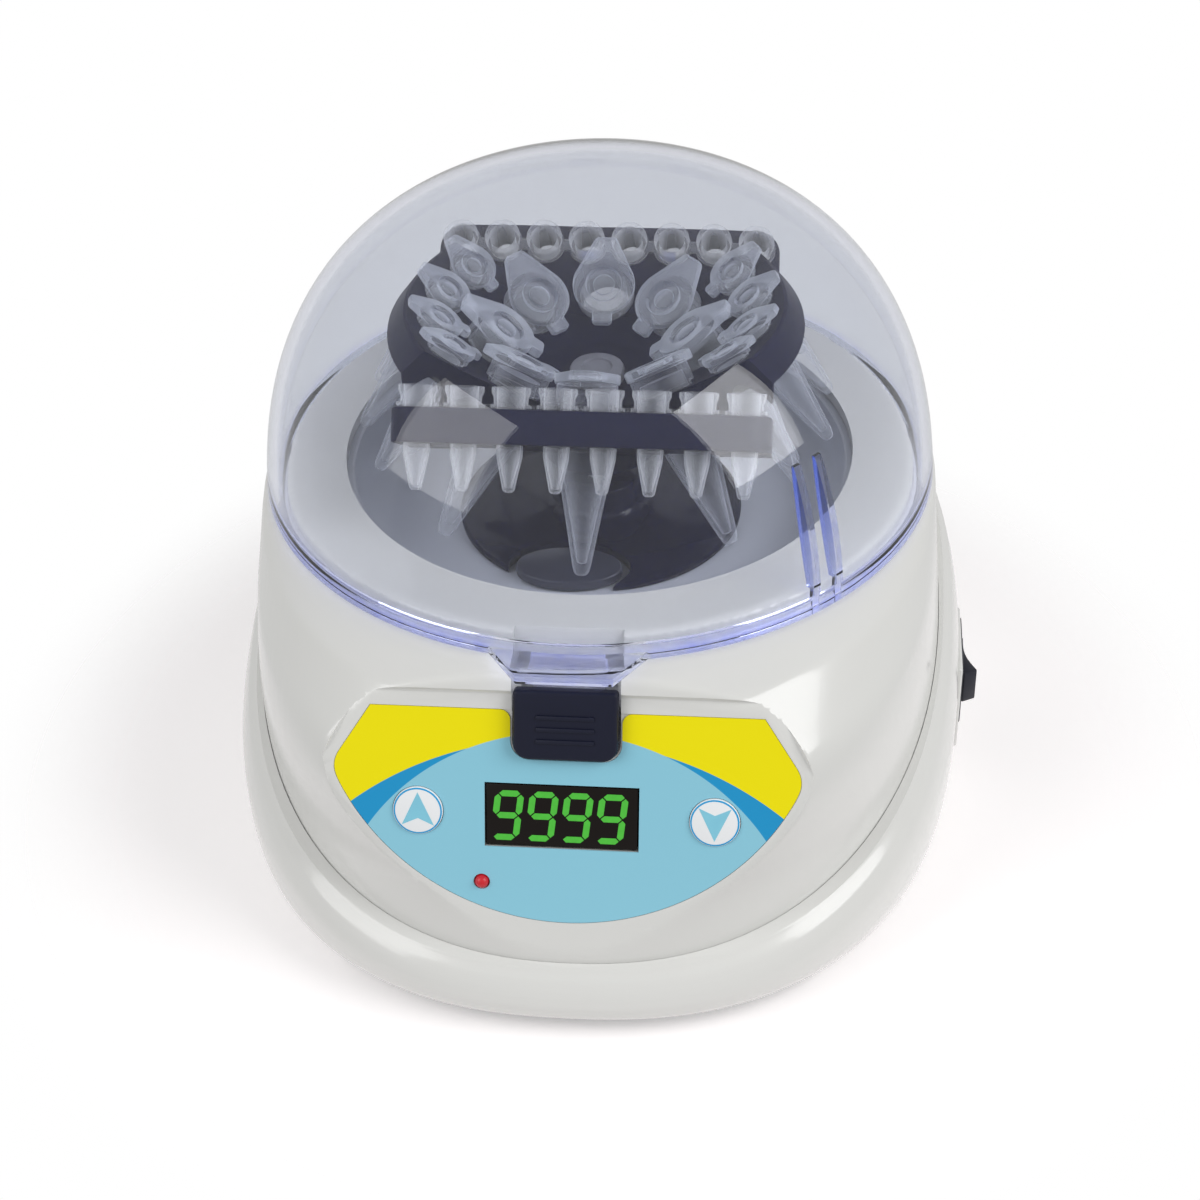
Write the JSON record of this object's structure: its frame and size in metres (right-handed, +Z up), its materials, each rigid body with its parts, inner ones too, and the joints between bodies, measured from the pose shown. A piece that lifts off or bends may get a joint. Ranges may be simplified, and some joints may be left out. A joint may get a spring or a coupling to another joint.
{
  "type": "mini centrifuge",
  "caption": "Bench-top mini centrifuge with a clear domed lid over an angle rotor of capped tubes and tube strips, a sloping display panel and a side power switch.",
  "frame": {"origin": "middle of the outline, on the bench under the feet", "axes": "+Z up, -Y out of the sloping control panel, +X to the side with the power switch"},
  "size_m": [0.1608, 0.1766, 0.1356],
  "materials": {
    "shell_white": "satin moulded casing",
    "lid_clear": "clear polished moulding",
    "bowl_grey": "satin moulded liner",
    "rotor_navy": "dark semi-matt moulding",
    "cover_navy": "polished dark moulding",
    "button_navy": "fine-textured dark moulding",
    "switch_black": "fine-textured dark moulding",
    "tube_frosted": "milky translucent moulding",
    "strip_clear": "clear thin-walled moulding",
    "label_film": "printed satin film",
    "key_white": "satin key cap",
    "display_black": "smoked display window",
    "lamp_red": "coloured lens",
    "board_green": "coated circuit board",
    "rubber_black": "matt moulded rubber",
    "window_grey": "smoked lens",
    "knob_grey": "satin moulding",
    "steel": "bright turned steel",
    "zinc": "plated sheet and housing"
  },
  "bodies": {
    "casing": {"top_shell": "shell_white", "base_shell": "shell_white", "bottom_cover": "shell_white", "chamber_bowl": "bowl_grey", "motor_cover": "cover_navy", "sensor_window": "window_grey", "motor": "zinc", "motor_bracket": "zinc", "hinge_pin": "steel", "control_label": "label_film", "display_module": "display_black", "status_lamp": "lamp_red", "control_board": "board_green", "catch_spring": "steel", "lid_switch": "switch_black", "switch_housing": "switch_black", "power_inlet": "switch_black", "foot_1": "rubber_black", "cover_screw_1": "steel", "foot_2": "rubber_black", "cover_screw_2": "steel", "foot_3": "rubber_black", "cover_screw_3": "steel", "foot_4": "rubber_black", "cover_screw_4": "steel", "motor_damper_1": "rubber_black", "motor_damper_2": "rubber_black", "motor_damper_3": "rubber_black"},
    "rotor": {"rotor_body": "rotor_navy", "motor_shaft": "steel", "rotor_knob": "knob_grey", "front_strip": "strip_clear", "rear_strip": "strip_clear", "large_tube_1": "tube_frosted", "large_tube_2": "tube_frosted", "large_tube_3": "tube_frosted", "large_tube_4": "tube_frosted", "large_tube_5": "tube_frosted", "large_tube_6": "tube_frosted", "large_tube_7": "tube_frosted", "large_tube_8": "tube_frosted", "small_tube_1": "tube_frosted", "small_tube_2": "tube_frosted", "small_tube_3": "tube_frosted", "small_tube_4": "tube_frosted", "small_tube_5": "tube_frosted", "small_tube_6": "tube_frosted", "small_tube_7": "tube_frosted", "small_tube_8": "tube_frosted"},
    "lid": {"lid_dome": "lid_clear", "lid_tongue": "lid_clear"},
    "button": {"push_button": "button_navy"},
    "key_up": {"up_key": "key_white"},
    "key_down": {"down_key": "key_white"},
    "rocker": {"switch_rocker": "switch_black"},
    "sense_pin": {"lid_sense_pin": "steel"}
  },
  "joints": [
    {"name": "lid_hinge", "type": "hinge", "parent": "casing", "child": "lid", "pos_m": [-0.00211, 0.08465, 0.0785], "axis": [-1, 0, 0], "range_deg": [0, 85]},
    {"name": "rotor_spin", "type": "hinge", "parent": "casing", "child": "rotor", "pos_m": [-0.00211, 0.00915, 0.08], "axis": [0, 0, 1], "continuous": true},
    {"name": "button_press", "type": "slide", "parent": "casing", "child": "button", "axis": [0, 0.9336, -0.3584], "range_m": [0, 0.0024], "stiffness_N_per_m": 400, "springref_m": -0.004},
    {"name": "up_key_press", "type": "slide", "parent": "casing", "child": "key_up", "axis": [0, 0.9336, -0.3584], "range_m": [0, 0.0006], "stiffness_N_per_m": 600, "springref_m": -0.001},
    {"name": "down_key_press", "type": "slide", "parent": "casing", "child": "key_down", "axis": [0, 0.9336, -0.3584], "range_m": [0, 0.0006], "stiffness_N_per_m": 600, "springref_m": -0.001},
    {"name": "power_rocker", "type": "hinge", "parent": "casing", "child": "rocker", "pos_m": [0.07599, 0.00915, 0.02], "axis": [0, 0, -1], "range_deg": [0, 28]},
    {"name": "sense_pin_press", "type": "slide", "parent": "casing", "child": "sense_pin", "axis": [0, 0, -1], "range_m": [0, 0.0012], "stiffness_N_per_m": 100, "springref_m": -0.002}
  ]
}
